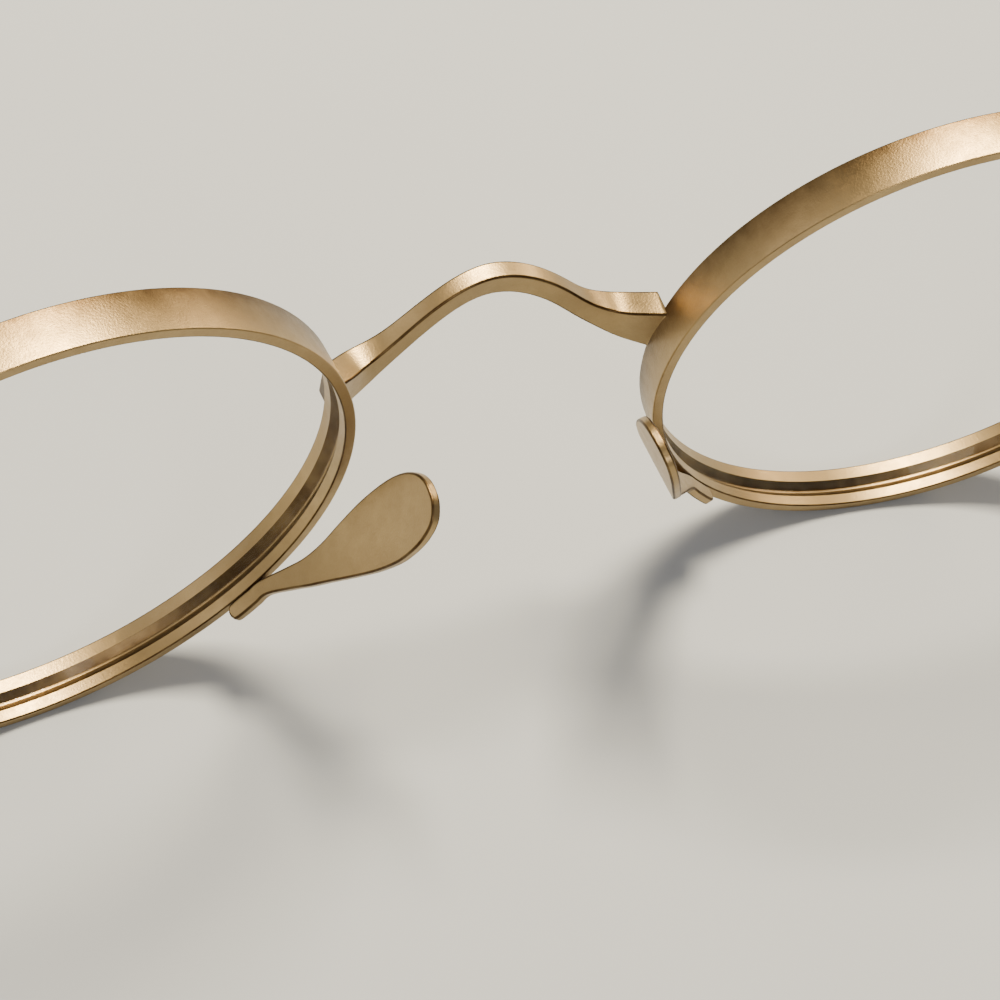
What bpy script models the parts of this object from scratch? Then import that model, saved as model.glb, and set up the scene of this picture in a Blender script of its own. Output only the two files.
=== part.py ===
"""Round wire eyeglasses: two deep, grooved metal rims joined by an arched bridge, with metal nose
pads on flat tails, lens-locking blocks at the temples, and folding temples on three-knuckle hinges.

The front faces -Y, the temples run towards +Y and +Z is up. Left and right are the wearer's, so the
left side is at +X. Every left-hand piece is modelled once and mirrored for the right-hand side.
Lengths are in millimetres, and MM turns them into metres when a mesh is made. While a piece is being
modelled, the origin is midway between the rims' centres; STAND_HEIGHT and the middle of the whole
length then place the origin on the table, under the middle of the eyeglasses.
"""

from math import asin, cos, pi, radians, sin

import bmesh
import bpy
import numpy as np

MM = 0.001

# Rims
RIM_RADIUS = 23.0
RIM_THICKNESS = 0.84
RIM_DEPTH = 3.4
RIM_CORNER = 0.1
RIM_CENTRE_X = 35.0
RIM_WRAP = radians(6.0)
RIM_STEPS = 96
GROOVE_DEPTH = 0.46
GROOVE_HALF_WIDTH = 0.7
GROOVE_FLOOR_HALF_WIDTH = 0.1
GROOVE_FORWARD = 0.07
SLIT_HEIGHT = 5.8
SLIT_WIDTH = 0.24

# Lenses
LENS_RADIUS = 21.9
LENS_BEVEL_RADIUS = 22.5
LENS_EDGE = 1.3
LENS_CENTRE = 1.6
LENS_FRONT_CURVE = 125.0
LENS_STEPS = 64

# Bridge, as rows of distance from the middle, forward reach, height, depth and thickness
BRIDGE_ROWS = (
    (0.0, 7.9, 6.9, 1.45, 1.9),
    (2.5, 7.6, 6.5, 1.4, 1.75),
    (5.0, 7.1, 5.15, 1.4, 1.6),
    (7.5, 6.75, 2.95, 1.6, 1.6),
    (10.0, 6.2, 1.75, 2.1, 2.3),
    (11.7, 5.3, 1.75, 2.1, 3.6),
    (13.4, 4.35, 2.0, 2.1, 4.6),
)
BRIDGE_STEPS = 48
BRIDGE_CORNER = 0.22

# Nose pads. The tail's rows are an angle below the rim's nasal point and the tail's two edges, as
# distances behind the rim. The blade's rows are a distance up it and its two edges, as distances
# back across it. The blade curves outwards, by a part of a large cylinder.
PAD_TAIL_THICKNESS = 0.8
PAD_BLADE_THICKNESS = 0.7
PAD_CORNER = 0.16
PAD_TAIL_ROWS = (
    (47.9, 0.45, 0.8),
    (47.3, 0.08, 1.2),
    (45.5, 0.0, 1.28),
    (42.0, 0.0, 1.28),
    (39.0, 0.03, 1.32),
)
PAD_BLADE_ROWS = (
    (2.1, -0.6, 1.1),
    (4.0, -0.7, 1.5),
    (6.0, -1.15, 1.87),
    (8.4, -1.95, 2.37),
    (10.9, -2.57, 2.86),
    (13.4, -2.82, 3.16),
    (15.1, -2.76, 3.12),
    (16.6, -2.45, 2.92),
    (17.7, -1.95, 2.57),
    (18.4, -1.38, 2.18),
    (18.85, -0.7, 1.7),
    (19.1, 0.1, 1.05),
)
PAD_FOOT = np.array((17.05, 0.52, -13.9))
PAD_FACE = np.array((0.776, 0.023, 0.630))
PAD_BACK = np.array((0.143, 0.967, -0.210))
PAD_BEND_RADIUS = 46.5
PAD_BEND_LENGTH = 16.0
PAD_STEPS = 48

# Endpieces, closing blocks and the screws that lock the lenses
ARM_HEIGHT = 3.2
ARM_THICKNESS = 1.25
ARM_CORNER = 0.25
ARM_BEND_RADIUS = 3.0
ARM_BEND_STEPS = 8
ARM_ROWS = ((0.0, 3.2), (4.2, 3.1), (7.5, 1.9), (10.5, ARM_THICKNESS), (30.0, ARM_THICKNESS))
SOLDER_DEPTH = 1.2
BLOCK_DEPTH = 3.2
BLOCK_REACH = 26.2
BLOCK_CORNER = 0.3
CLOSING_BLOCK_HEIGHT = 2.3
LOCK_SCREW_U = 24.7
SCREW_RADIUS = 0.5
SCREW_HOLE_RADIUS = 0.56
SCREW_HEAD_RADIUS = 0.95
SCREW_HEAD_HEIGHT = 0.55
SCREW_SLOT_WIDTH = 0.22
SCREW_SLOT_DEPTH = 0.2
SCREW_TIP_BEVEL = 0.15
LOCK_SCREW_REACH = 2.1
BORE_BEYOND_SCREW = 0.2

# Hinges
HINGE_X = 65.0
HINGE_Y = 12.0
HINGE_HEIGHT = SLIT_HEIGHT + SLIT_WIDTH / 2 + ARM_HEIGHT / 2
ARM_OFFSET = 2.03
BARREL_RADIUS = 1.25
KNUCKLE_HEIGHT = 1.1
WASHER_THICKNESS = 0.1
WASHER_RADIUS = 1.15
KNUCKLE_GAP = 0.15
LEAF_THICKNESS = 0.7
LEAF_LENGTH = 5.4
LEAF_START = 1.45
LEAF_SHOULDER = 0.25
WEB_WIDTH = 0.9
WEB_INTO_LEAF = 0.4
ROUND_STEPS = 24

# Temples
TEMPLE_LENGTH = 145.0
TEMPLE_STRAIGHT = 97.0
TEMPLE_SLOPE = radians(3.0)
EAR_BEND_RADIUS = 18.0
EAR_INWARD = 3.5
TIP_START = 86.0
CORE_END = 128.0
CORE_CLEARANCE = 0.06
BORE_BEYOND_CORE = 0.5
TEMPLE_CORNER = 0.3
TIP_CORNER = 1.1
TIP_ROUND_LENGTH = 2.6
TEMPLE_STEPS = 44
TIP_STEPS = 34
TIP_ROUND_STEPS = 6
TIP_BORE_STEPS = 24

# Temple sections, as rows of distance along the temple, thickness and height
TEMPLE_ROWS = (
    (0.0, 1.25, 3.2),
    (10.0, 1.2, 3.0),
    (40.0, 1.05, 2.3),
    (84.0, 1.0, 1.9),
    (94.0, 0.8, 1.5),
    (TEMPLE_LENGTH, 0.7, 1.3),
)
TIP_ROWS = (
    (TIP_START, 2.0, 2.9),
    (92.0, 2.6, 3.5),
    (110.0, 2.6, 3.7),
    (130.0, 2.4, 4.7),
    (TEMPLE_LENGTH, 2.2, 5.0),
)

JOIN_GAP = 0.03
BUTT_GAP = 0.02
CUTTER_STEPS = 192

GOLD = ((0.62, 0.46, 0.28), 0.42, 1.0)
GOLD_BRIGHT = ((0.75, 0.60, 0.40), 0.35, 1.0)
STEEL = ((0.55, 0.50, 0.44), 0.3, 1.0)
NYLON = ((0.85, 0.84, 0.80), 0.5, 0.0)
ACETATE = ((0.16, 0.07, 0.03), 0.2, 0.0)
CLEAR = ((0.95, 0.97, 0.96), 0.02, 0.0)

X, Y, Z = np.eye(3)
RING_CENTRE = RIM_CENTRE_X * X
RING_OUT = cos(RIM_WRAP) * X + sin(RIM_WRAP) * Y
RING_BACK = -sin(RIM_WRAP) * X + cos(RIM_WRAP) * Y


def clear_scene():
    for obj in list(bpy.data.objects):
        bpy.data.objects.remove(obj, do_unlink=True)


def material(name, look):
    """A Principled material from a colour, a roughness and a metallic value."""
    colour, roughness, metallic = look
    made = bpy.data.materials.new(name)
    made.use_nodes = True
    shader = made.node_tree.nodes["Principled BSDF"]
    shader.inputs["Base Color"].default_value = (*colour, 1.0)
    shader.inputs["Roughness"].default_value = roughness
    shader.inputs["Metallic"].default_value = metallic
    return made


def mesh_object(name, points, faces, look=None, mirror=False, parent=None, smooth=35.0):
    """An object from points in millimetres. Its normals are made to point out of the solid."""
    points = np.array(points, float)
    if mirror:
        points = points * (-1.0, 1.0, 1.0)
    if parent is not None:
        points = points - parent["pivot_mm"]
    mesh = bpy.data.meshes.new(name)
    mesh.from_pydata([tuple(p) for p in points * MM], [], [tuple(f) for f in faces])
    shape = bmesh.new()
    shape.from_mesh(mesh)
    bmesh.ops.recalc_face_normals(shape, faces=shape.faces)
    if shape.calc_volume(signed=True) < 0:
        bmesh.ops.reverse_faces(shape, faces=shape.faces)
    shape.to_mesh(mesh)
    shape.free()
    mesh.shade_smooth()
    mesh.set_sharp_from_angle(angle=radians(smooth))
    obj = bpy.data.objects.new(name, mesh)
    bpy.context.scene.collection.objects.link(obj)
    obj.parent = parent
    if look is None:
        obj.hide_render = True
        obj.display_type = "WIRE"
    else:
        mesh.materials.append(material(name, look))
    return obj


def boolean(obj, operation, *others):
    for other in others:
        modifier = obj.modifiers.new(f"{operation}_{other.name}".lower(), "BOOLEAN")
        modifier.operation = operation
        modifier.solver = "EXACT"
        modifier.object = other


def lofted(loops, closed=False):
    """Points and faces of a skin over equal loops. An open skin gets a cap at each end."""
    size = len(loops[0])
    points = np.concatenate(loops)
    faces = []
    last = len(loops) if closed else len(loops) - 1
    for i in range(last):
        here = i * size
        there = (i + 1) % len(loops) * size
        for j in range(size):
            k = (j + 1) % size
            faces.append((here + j, here + k, there + k, there + j))
    if not closed:
        faces.append(tuple(range(size)))
        faces.append(tuple(range(len(points) - 1, len(points) - 1 - size, -1)))
    return points, faces


def spline(rows, count):
    """Evenly spread points on a smooth curve through the rows, which may have any number of columns."""
    rows = np.array(rows, float)
    rows = np.vstack([2 * rows[0] - rows[1], rows, 2 * rows[-1] - rows[-2]])
    samples = []
    for at in np.linspace(0, len(rows) - 3, count):
        i = min(int(at), len(rows) - 4)
        t = at - i
        a, b, c, d = rows[i : i + 4]
        bend = (2 * a - 5 * b + 4 * c - d) * t**2 + (3 * b - 3 * c + d - a) * t**3
        samples.append(b + 0.5 * ((c - a) * t + bend))
    return np.array(samples)


def rounded_section(width, height, corner, steps=2):
    """A rectangle with round corners, centred on 0, as rows of two numbers."""
    corner = min(corner, 0.49 * width, 0.49 * height)
    section = []
    for quarter, (across, up) in enumerate(((1, 1), (-1, 1), (-1, -1), (1, -1))):
        for angle in np.linspace(0, pi / 2, steps + 1) + quarter * pi / 2:
            section.append(
                (
                    across * (width / 2 - corner) + corner * cos(angle),
                    up * (height / 2 - corner) + corner * sin(angle),
                )
            )
    return np.array(section)


def placed(section, centre, across, up):
    return centre + np.outer(section[:, 0], across) + np.outer(section[:, 1], up)


def unit(vector):
    return vector / np.linalg.norm(vector)


def turned(profile, centre, axis, steps, start=0.0):
    """A closed profile of (radius, height) rows, turned once round an axis through a point."""
    side = unit(np.cross(axis, X if abs(axis[0]) < 0.5 else Y))
    other = np.cross(axis, side)
    profile = np.array(profile)
    loops = []
    for angle in start + np.arange(steps) * 2 * pi / steps:
        out = cos(angle) * side + sin(angle) * other
        loops.append(placed(profile, centre, out, axis))
    return lofted(loops, closed=True)


def turned_solid(profile, centre, axis, steps):
    """A shape whose profile starts and ends on its own axis, turned once round it."""
    side = unit(np.cross(axis, X if abs(axis[0]) < 0.5 else Y))
    other = np.cross(axis, side)
    points = [centre + profile[0][1] * axis]
    for radius, height in profile[1:-1]:
        for angle in np.arange(steps) * 2 * pi / steps:
            points.append(centre + radius * (cos(angle) * side + sin(angle) * other) + height * axis)
    points.append(centre + profile[-1][1] * axis)
    rings = len(profile) - 2
    faces = []
    for j in range(steps):
        k = (j + 1) % steps
        faces.append((0, 1 + k, 1 + j))
        for ring in range(rings - 1):
            here = 1 + ring * steps
            faces.append((here + j, here + k, here + steps + k, here + steps + j))
        end = 1 + (rings - 1) * steps
        faces.append((end + j, end + k, len(points) - 1))
    return np.array(points), faces


def box(centre, across, along, up, size):
    """A box with its three edge directions and its three sizes."""
    section = np.array(((1, 1), (-1, 1), (-1, -1), (1, -1))) / 2 * (size[0], size[2])
    ends = [placed(section, centre + end * size[1] / 2 * along, across, up) for end in (-1, 1)]
    return lofted(ends)


def ring_point(angle, radius, depth):
    """A point on the left rim. The angle is 0 at the temple and grows upwards, and depth is backwards."""
    return RING_CENTRE + radius * (cos(angle) * RING_OUT + sin(angle) * Z) + depth * RING_BACK


def rim_profile():
    """The rim's section as (radius, depth) rows: a thin band with a V groove along its inside."""
    half = RIM_DEPTH / 2
    inner = RIM_RADIUS - RIM_THICKNESS
    groove = inner + GROOVE_DEPTH
    return (
        (RIM_RADIUS - RIM_CORNER, half),
        (RIM_RADIUS, half - RIM_CORNER),
        (RIM_RADIUS, RIM_CORNER - half),
        (RIM_RADIUS - RIM_CORNER, -half),
        (inner + RIM_CORNER, -half),
        (inner, RIM_CORNER - half),
        (inner, GROOVE_FORWARD - GROOVE_HALF_WIDTH),
        (groove, GROOVE_FORWARD - GROOVE_FLOOR_HALF_WIDTH),
        (groove, GROOVE_FORWARD + GROOVE_FLOOR_HALF_WIDTH),
        (inner, GROOVE_FORWARD + GROOVE_HALF_WIDTH),
        (inner, half - RIM_CORNER),
        (inner + RIM_CORNER, half),
    )


def rim(side, mirror):
    """A band that goes once round the lens, cut through at the temple by a narrow slit."""
    slit = asin(SLIT_HEIGHT / RIM_RADIUS)
    half_gap = SLIT_WIDTH / 2 / RIM_RADIUS
    angles = np.linspace(slit + half_gap, slit + 2 * pi - half_gap, RIM_STEPS + 1)
    loops = [np.array([ring_point(a, r, d) for r, d in rim_profile()]) for a in angles]
    return mesh_object(f"rim_{side}", *lofted(loops), GOLD, mirror)


def rim_clearance(side, mirror):
    """What the rim takes out of the pieces that are soldered to its outside."""
    radius = RIM_RADIUS + JOIN_GAP
    profile = ((0, -12), (radius, -12), (radius, 12), (0, 12))
    points, faces = turned_solid(profile, RING_CENTRE, RING_BACK, CUTTER_STEPS)
    return mesh_object(f"rim_clearance_{side}", points, faces, mirror=mirror)


def lens(side, mirror):
    """A meniscus with a bevelled edge that sits in the rim's groove."""

    def front(radius):
        return GROOVE_FORWARD - LENS_EDGE / 2 - bulge(LENS_FRONT_CURVE, radius)

    def back(radius):
        rise = LENS_CENTRE - LENS_EDGE
        back_curve = (LENS_RADIUS**2 + (bulge(LENS_FRONT_CURVE, 0) - rise) ** 2) / (
            2 * (bulge(LENS_FRONT_CURVE, 0) - rise)
        )
        return GROOVE_FORWARD + LENS_EDGE / 2 - bulge(back_curve, radius)

    def bulge(curve, radius):
        edge = (curve**2 - LENS_RADIUS**2) ** 0.5
        return (curve**2 - radius**2) ** 0.5 - edge

    radii = np.linspace(0, LENS_RADIUS, 6)
    profile = [(r, front(r)) for r in radii]
    profile += [
        (LENS_BEVEL_RADIUS, GROOVE_FORWARD - 0.04),
        (LENS_BEVEL_RADIUS, GROOVE_FORWARD + 0.04),
    ]
    profile += [(r, back(r)) for r in radii[::-1]]
    points, faces = turned_solid(profile, RING_CENTRE, RING_BACK, LENS_STEPS)
    return mesh_object(f"lens_{side}", points, faces, CLEAR, mirror)


def bridge(cutters):
    """A bar of rectangular section that arches up and forwards, and flares where it meets the rims."""
    half = [(x, -y, z, depth, tall) for x, y, z, depth, tall in BRIDGE_ROWS]
    other_half = [(-x, *rest) for x, *rest in half[:0:-1]]
    rows = spline(other_half + half, BRIDGE_STEPS + 1)
    loops = []
    for i, row in enumerate(rows):
        along = unit(rows[min(i + 1, BRIDGE_STEPS), :3] - rows[max(i - 1, 0), :3])
        across = unit(Y - (Y @ along) * along)
        up = np.cross(along, across)
        section = rounded_section(row[3], row[4], BRIDGE_CORNER, steps=1)
        loops.append(placed(section, row[:3], across, up))
    made = mesh_object("bridge", *lofted(loops), GOLD)
    boolean(made, "DIFFERENCE", *cutters)
    return made


def pad_point(distance_up, distance_back):
    """A point in the middle of the blade's thickness."""
    back = unit(PAD_BACK)
    face = unit(PAD_FACE - (PAD_FACE @ back) * back)
    up = np.cross(face, back)
    turn = min(distance_up, PAD_BEND_LENGTH) / PAD_BEND_RADIUS
    beyond = max(distance_up - PAD_BEND_LENGTH, 0.0)
    rise = PAD_BEND_RADIUS * sin(turn) + beyond * cos(turn)
    outwards = PAD_BEND_RADIUS * (1 - cos(turn)) + beyond * sin(turn)
    return PAD_FOOT + rise * up + outwards * face + distance_back * back


def pad_edges():
    """The pad's two long edges, as rows of six numbers, from the end of its tail to its tip."""
    radius = RIM_RADIUS - RIM_THICKNESS / 2
    behind = RIM_DEPTH / 2 + JOIN_GAP
    rows = []
    for angle, *edges in PAD_TAIL_ROWS:
        rows.append([ring_point(pi + radians(angle), radius, behind + edge) for edge in edges])
    for distance_up, *edges in PAD_BLADE_ROWS:
        rows.append([pad_point(distance_up, edge) for edge in edges])
    return np.array(rows).reshape(-1, 6)


def nose_pad(side, mirror):
    """A flat stamped pad whose narrow tail lies along the rim's back edge."""
    rows = spline(pad_edges(), PAD_STEPS + 1)
    middles = (rows[:, :3] + rows[:, 3:]) / 2
    directions = np.gradient(middles, axis=0)
    tail_share = len(PAD_TAIL_ROWS) / (len(PAD_TAIL_ROWS) + len(PAD_BLADE_ROWS))
    loops = []
    for i in range(PAD_STEPS + 1):
        across = rows[i, 3:] - rows[i, :3]
        width = np.linalg.norm(across)
        normal = unit(np.cross(directions[i], across))
        thinned = min(1.0, max(0.0, i / PAD_STEPS / tail_share - 0.8))
        thickness = PAD_TAIL_THICKNESS + thinned * (PAD_BLADE_THICKNESS - PAD_TAIL_THICKNESS)
        section = rounded_section(width, thickness, PAD_CORNER, steps=1)
        loops.append(placed(section, middles[i], across / width, normal))
    return mesh_object(f"nose_pad_{side}", *lofted(loops), GOLD, mirror)


def hole(name, centre, axis, radius, low, high, mirror, parent=None):
    profile = ((0, low), (radius, low), (radius, high), (0, high))
    points, faces = turned_solid(profile, centre, axis, ROUND_STEPS)
    return mesh_object(name, points, faces, mirror=mirror, parent=parent)


def lock_screw_axis():
    return RING_CENTRE + LOCK_SCREW_U * RING_OUT


def corner_path(start, corner, end, radius, steps):
    """Points and directions along two straight runs joined by an arc, in plan."""
    first, second = unit(corner - start), unit(end - corner)
    turn = np.arccos(first @ second)
    cut = radius * np.tan(turn / 2)
    inward = unit(second - (second @ first) * first)
    centre = corner - cut * first + radius * inward
    points = [start + t * (corner - cut * first - start) for t in np.linspace(0, 1, steps)[:-1]]
    directions = [first] * len(points)
    for angle in np.linspace(0, turn, steps):
        points.append(centre + radius * (sin(angle) * first - cos(angle) * inward))
        directions.append(cos(angle) * first + sin(angle) * inward)
    leave = corner + cut * second
    points += [leave + t * (end - leave) for t in np.linspace(0, 1, steps)[1:]]
    directions += [second] * (steps - 1)
    return np.array(points), np.array(directions)


def endpiece(side, mirror, cutter):
    """The upper locking block, drawn out into an arm that turns back to the hinge."""
    lift = HINGE_HEIGHT * Z
    start = RING_CENTRE + (RIM_RADIUS - SOLDER_DEPTH) * RING_OUT + lift
    arm_x = HINGE_X + ARM_OFFSET
    corner = RING_CENTRE + (arm_x - RIM_CENTRE_X) / RING_OUT[0] * RING_OUT + lift
    end = np.array((arm_x, HINGE_Y - BUTT_GAP, HINGE_HEIGHT))
    points, directions = corner_path(start, corner, end, ARM_BEND_RADIUS, ARM_BEND_STEPS)
    travelled = np.concatenate([[0], np.cumsum(np.linalg.norm(np.diff(points, axis=0), axis=1))])
    loops = []
    for point, direction, at in zip(points, directions, travelled):
        thickness = np.interp(at, *zip(*ARM_ROWS))
        section = rounded_section(thickness, ARM_HEIGHT, ARM_CORNER, steps=1)
        loops.append(placed(section, point, np.cross(direction, Z), Z))
    made = mesh_object(f"endpiece_{side}", *lofted(loops), GOLD, mirror)
    top = SLIT_HEIGHT + SLIT_WIDTH / 2 + LOCK_SCREW_REACH + BORE_BEYOND_SCREW
    bore = hole(f"endpiece_bore_{side}", lock_screw_axis(), Z, SCREW_HOLE_RADIUS, 0.0, top, mirror)
    boolean(made, "DIFFERENCE", cutter, bore)
    return made


def closing_block(side, mirror, cutter):
    """The lower locking block, under the slit."""
    top = SLIT_HEIGHT - SLIT_WIDTH / 2
    middle = (RIM_RADIUS - SOLDER_DEPTH + BLOCK_REACH) / 2
    centre = RING_CENTRE + middle * RING_OUT + (top - CLOSING_BLOCK_HEIGHT / 2) * Z
    length = BLOCK_REACH - RIM_RADIUS + SOLDER_DEPTH
    section = rounded_section(length, BLOCK_DEPTH, BLOCK_CORNER, steps=1)
    loops = [
        placed(section, centre + end * CLOSING_BLOCK_HEIGHT / 2 * Z, RING_OUT, RING_BACK)
        for end in (-1, 1)
    ]
    made = mesh_object(f"closing_block_{side}", *lofted(loops), GOLD, mirror)
    far = 2 * SLIT_HEIGHT
    bore = hole(f"closing_bore_{side}", lock_screw_axis(), Z, SCREW_HOLE_RADIUS, 0.0, far, mirror)
    boolean(made, "DIFFERENCE", cutter, bore)
    return made


def screw(name, centre, axis, seat, tip, mirror):
    """A slotted screw whose head starts at seat, and whose shank runs to tip, along the axis."""
    head = seat - SCREW_HEAD_HEIGHT
    profile = (
        (0, head),
        (0.7 * SCREW_HEAD_RADIUS, head),
        (SCREW_HEAD_RADIUS, head + 0.35 * SCREW_HEAD_HEIGHT),
        (SCREW_HEAD_RADIUS, seat),
        (SCREW_RADIUS, seat),
        (SCREW_RADIUS, tip - SCREW_TIP_BEVEL),
        (SCREW_RADIUS - SCREW_TIP_BEVEL, tip),
        (0, tip),
    )
    made = mesh_object(name, *turned_solid(profile, centre, axis, ROUND_STEPS), STEEL, mirror)
    slot_size = (SCREW_SLOT_WIDTH, 2.4 * SCREW_HEAD_RADIUS, 2 * SCREW_SLOT_DEPTH)
    slot_points = box(centre + head * axis, X, Y, Z, slot_size)
    boolean(made, "DIFFERENCE", mesh_object(f"{name}_slot", *slot_points, mirror=mirror))
    return made


def lock_screw(side, mirror):
    seat = SLIT_HEIGHT - SLIT_WIDTH / 2 - CLOSING_BLOCK_HEIGHT - JOIN_GAP
    tip = SLIT_HEIGHT + SLIT_WIDTH / 2 + LOCK_SCREW_REACH
    return screw(f"rim_lock_screw_{side}", lock_screw_axis(), Z, seat, tip, mirror)


def hinge_axis():
    return np.array((HINGE_X, HINGE_Y, HINGE_HEIGHT))


def barrel_half_height():
    return 1.5 * KNUCKLE_HEIGHT + KNUCKLE_GAP


def hinge_leaf(name, ahead, knuckles, mirror, parent=None):
    """A leaf on one side of the hinge's axis, ahead being +1 towards the temple's tip, with knuckles
    given as (middle, height) rows. Each knuckle is a barrel joined to the leaf by a short web."""
    axis = hinge_axis()
    outer = ARM_OFFSET - ARM_THICKNESS / 2 - JOIN_GAP
    length = LEAF_LENGTH - LEAF_START
    across = outer - LEAF_THICKNESS / 2
    plate_centre = axis + across * X + ahead * (LEAF_START + length / 2) * Y
    plate_size = (LEAF_THICKNESS, length, 2 * (barrel_half_height() - LEAF_SHOULDER))
    look = GOLD if parent is None else GOLD_BRIGHT
    made = mesh_object(name, *box(plate_centre, X, Y, Z, plate_size), look, mirror, parent)
    for i, (middle, tall) in enumerate(knuckles):
        barrel_points = turned_solid(
            ((0, -tall / 2), (BARREL_RADIUS, -tall / 2), (BARREL_RADIUS, tall / 2), (0, tall / 2)),
            axis + middle * Z,
            Z,
            ROUND_STEPS,
        )
        barrel = mesh_object(f"{name}_barrel_{i}", *barrel_points, mirror=mirror, parent=parent)
        web_size = (WEB_WIDTH, LEAF_START + WEB_INTO_LEAF, tall)
        web_across = outer - WEB_WIDTH / 2 - JOIN_GAP
        web_centre = axis + np.array((web_across, ahead * web_size[1] / 2, middle))
        web_points = box(web_centre, X, Y, Z, web_size)
        web = mesh_object(f"{name}_web_{i}", *web_points, mirror=mirror, parent=parent)
        boolean(made, "UNION", web, barrel)
    far = 2 * barrel_half_height()
    bore = hole(f"{name}_bore", axis, Z, SCREW_HOLE_RADIUS, -far, far, mirror, parent)
    boolean(made, "DIFFERENCE", bore)
    return made


def hinge_screw(side, mirror):
    seat = -barrel_half_height() - JOIN_GAP
    tip = barrel_half_height() + SCREW_TIP_BEVEL
    return screw(f"hinge_screw_{side}", hinge_axis(), -Z, seat, tip, mirror)


def hinge_washer(name, middle, mirror):
    half = WASHER_THICKNESS / 2
    profile = (
        (SCREW_HOLE_RADIUS, -half),
        (WASHER_RADIUS, -half),
        (WASHER_RADIUS, half),
        (SCREW_HOLE_RADIUS, half),
    )
    centre = hinge_axis() + middle * Z
    return mesh_object(name, *turned(profile, centre, Z, ROUND_STEPS), NYLON, mirror)


def temple_point(at, ear_bend):
    """The temple's middle line at a distance from the hinge, and its direction there. It runs back
    with a slight fall, turns down behind the ear by the ear bend and leans inwards beyond it."""
    bend_length = EAR_BEND_RADIUS * ear_bend
    start = np.array((HINGE_X + ARM_OFFSET, HINGE_Y + BUTT_GAP, HINGE_HEIGHT))
    turned_by = min(max(at - TEMPLE_STRAIGHT, 0.0) / EAR_BEND_RADIUS, ear_bend)
    falling = TEMPLE_SLOPE + turned_by
    straight = min(at, TEMPLE_STRAIGHT)
    back = straight * cos(TEMPLE_SLOPE) + EAR_BEND_RADIUS * (sin(falling) - sin(TEMPLE_SLOPE))
    down = straight * sin(TEMPLE_SLOPE) + EAR_BEND_RADIUS * (cos(TEMPLE_SLOPE) - cos(falling))
    beyond = max(at - TEMPLE_STRAIGHT - bend_length, 0.0)
    back += beyond * cos(falling)
    down += beyond * sin(falling)
    lean = max(at - TIP_START, 0.0) / (TEMPLE_LENGTH - TIP_START)
    point = start + np.array((-EAR_INWARD * lean**2, back, -down))
    return point, np.array((0.0, cos(falling), -sin(falling)))


def section_at(rows, at):
    rows = np.array(rows)
    return [np.interp(at, rows[:, 0], rows[:, column]) for column in (1, 2)]


def strip(rows, places, ear_bend, corner, grow=0.0, shrink=lambda at: 1.0):
    """Sections of a strip that follows the temple's middle line at the places given."""
    loops = []
    for at in places:
        point, along = temple_point(at, ear_bend)
        thickness, height = section_at(rows, at)
        scale = shrink(at)
        section = rounded_section(thickness + grow, height + grow, corner, steps=2) * scale
        up = Z if at == 0 else np.cross(X, along)
        loops.append(placed(section, point, X, up))
    return loops


def tip_end(at):
    """How much of the tip's section is left near its round end."""
    left = min(1.0, (TEMPLE_LENGTH - at) / TIP_ROUND_LENGTH)
    return max(0.04, (1 - (1 - left) ** 2) ** 0.5)


def tip_outside(ear_bend):
    """Sections of the tip's outside, closer together where its end is rounded."""
    main = np.linspace(TIP_START, TEMPLE_LENGTH - TIP_ROUND_LENGTH, TIP_STEPS)
    turns = np.linspace(0, pi / 2, TIP_ROUND_STEPS + 1)[1:]
    end = TEMPLE_LENGTH - TIP_ROUND_LENGTH * np.cos(turns)
    return strip(TIP_ROWS, np.concatenate([main, end]), ear_bend, TIP_CORNER, shrink=tip_end)


def ear_bend_to_reach(floor):
    """The ear bend with which the tips' lowest points are level with the bottom of the rims."""
    low, high = radians(10), radians(70)
    for _ in range(40):
        middle = (low + high) / 2
        if np.concatenate(tip_outside(middle))[:, 2].min() > floor:
            low = middle
        else:
            high = middle
    return (low + high) / 2


def temple(side, mirror, parent, ear_bend):
    """A flat metal temple whose end is a thin core inside the tip."""
    places = np.linspace(0, CORE_END, TEMPLE_STEPS + 1)
    loops = strip(TEMPLE_ROWS, places, ear_bend, TEMPLE_CORNER)
    return mesh_object(f"temple_{side}", *lofted(loops), GOLD, mirror, parent)


def temple_tip(side, mirror, parent, ear_bend):
    """The sleeve over the temple's end, widening to a rounded paddle."""
    places = np.linspace(TIP_START, CORE_END + BORE_BEYOND_CORE, TIP_BORE_STEPS)
    bore = strip(TEMPLE_ROWS, places, ear_bend, TEMPLE_CORNER, grow=2 * CORE_CLEARANCE)
    points, faces = lofted(bore[::-1] + tip_outside(ear_bend))
    return mesh_object(f"temple_tip_{side}", points, faces, ACETATE, mirror, parent)


def fold_axis(side, mirror, whole):
    """An empty on the hinge's axis, which the folding pieces are parented to."""
    empty = bpy.data.objects.new(f"fold_axis_{side}", None)
    bpy.context.scene.collection.objects.link(empty)
    pivot = hinge_axis() * ((-1, 1, 1) if mirror else (1, 1, 1))
    empty["pivot_mm"] = pivot
    empty.location = pivot * MM
    empty.parent = whole
    return empty


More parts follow.
